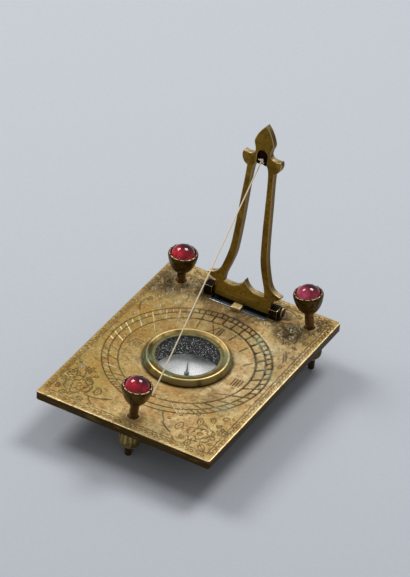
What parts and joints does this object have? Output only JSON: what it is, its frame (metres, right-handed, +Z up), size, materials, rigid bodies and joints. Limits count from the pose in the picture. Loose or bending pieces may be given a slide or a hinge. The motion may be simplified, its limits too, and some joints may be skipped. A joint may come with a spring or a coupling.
{
  "type": "sundial",
  "caption": "Portable string sundial: engraved plate with a compass, folding frame that holds the shadow string, and levelling screws with stone-set heads.",
  "frame": {"origin": "on the surface under the feet, below the middle of the object's overall width and depth", "axes": "+Z up, +Y to the back, where the folding frame stands, +X to the right seen from the front"},
  "size_m": [0.075, 0.1022, 0.0969],
  "materials": {
    "engraved_brass": "worn golden brass with dark engraving and patina",
    "polished_brass": "bright turned brass",
    "tarnished_brass": "dull brass with a little green",
    "olive_brass": "smooth brown olive patina",
    "dark_brass": "very dark brown patina",
    "steel": "grey steel with dull wear",
    "blued_steel": "thin dark blued steel",
    "clear_glass": "flat clear glass with dust",
    "white_paper": "plain white card",
    "cotton_thread": "twisted cream thread",
    "red_glass": "deep red domed glass",
    "pink_glass": "red glass with a pink cast"
  },
  "bodies": {
    "dial": {"dial_plate": "engraved_brass", "compass_bowl": "dark_brass", "compass_bezel": "polished_brass", "compass_glass": "clear_glass", "glass_ring": "tarnished_brass", "compass_card": "white_paper", "needle_pivot": "steel", "hinge_bed": "steel", "hinge_block_left": "dark_brass", "hinge_block_right": "dark_brass", "hinge_pin": "dark_brass", "hinge_rivets": "tarnished_brass", "frame_rest": "polished_brass", "front_boss": "olive_brass", "left_boss": "olive_brass", "right_boss": "olive_brass", "string": "cotton_thread", "lower_knot": "cotton_thread"},
    "gnomon": {"gnomon_frame": "olive_brass", "string_saddle": "dark_brass", "upper_knot": "cotton_thread"},
    "needle": {"compass_needle": "blued_steel", "needle_cap": "tarnished_brass"},
    "front_screw": {"front_screw": "dark_brass"},
    "front_head": {"front_cup": "dark_brass", "front_stone": "red_glass"},
    "left_screw": {"left_screw": "dark_brass"},
    "left_head": {"left_cup": "dark_brass", "left_stone": "red_glass"},
    "right_screw": {"right_screw": "dark_brass"},
    "right_head": {"right_cup": "dark_brass", "right_stone": "pink_glass"}
  },
  "joints": [
    {"name": "gnomon_fold", "type": "hinge", "parent": "dial", "child": "gnomon", "pos_m": [0, 0.03945, 0.02186], "axis": [1, 0, 0], "range_deg": [0, 95], "deforming": ["string"]},
    {"name": "needle_turn", "type": "hinge", "parent": "dial", "child": "needle", "pos_m": [0, -0.00295, 0.013], "axis": [0, 0, 1], "continuous": true},
    {"name": "front_screw_travel", "type": "slide", "parent": "dial", "child": "front_screw", "axis": [0.0767, 0, 0.9971], "range_m": [-0.0055, 0.004]},
    {"name": "front_head_turn", "type": "hinge", "parent": "front_screw", "child": "front_head", "pos_m": [0.0004, -0.04335, 0.019], "axis": [0.0767, 0, 0.9971], "range_deg": [-2477, 1802]},
    {"name": "left_screw_travel", "type": "slide", "parent": "dial", "child": "left_screw", "axis": [0.0227, 0, 0.9997], "range_m": [-0.0036, 0.004]},
    {"name": "left_head_turn", "type": "hinge", "parent": "left_screw", "child": "left_head", "pos_m": [-0.0275, 0.03905, 0.019], "axis": [0.0227, 0, 0.9997], "range_deg": [-1622, 1802]},
    {"name": "right_screw_travel", "type": "slide", "parent": "dial", "child": "right_screw", "axis": [-0.1132, 0, 0.9936], "range_m": [-0.0061, 0.004]},
    {"name": "right_head_turn", "type": "hinge", "parent": "right_screw", "child": "right_head", "pos_m": [0.0287, 0.04085, 0.019], "axis": [-0.1132, 0, 0.9936], "range_deg": [-2747, 1802]}
  ],
  "couplings": [
    {"joint": "front_head_turn", "follows": "front_screw_travel", "rad_per_m": 7854},
    {"joint": "left_head_turn", "follows": "left_screw_travel", "rad_per_m": 7854},
    {"joint": "right_head_turn", "follows": "right_screw_travel", "rad_per_m": 7854}
  ]
}
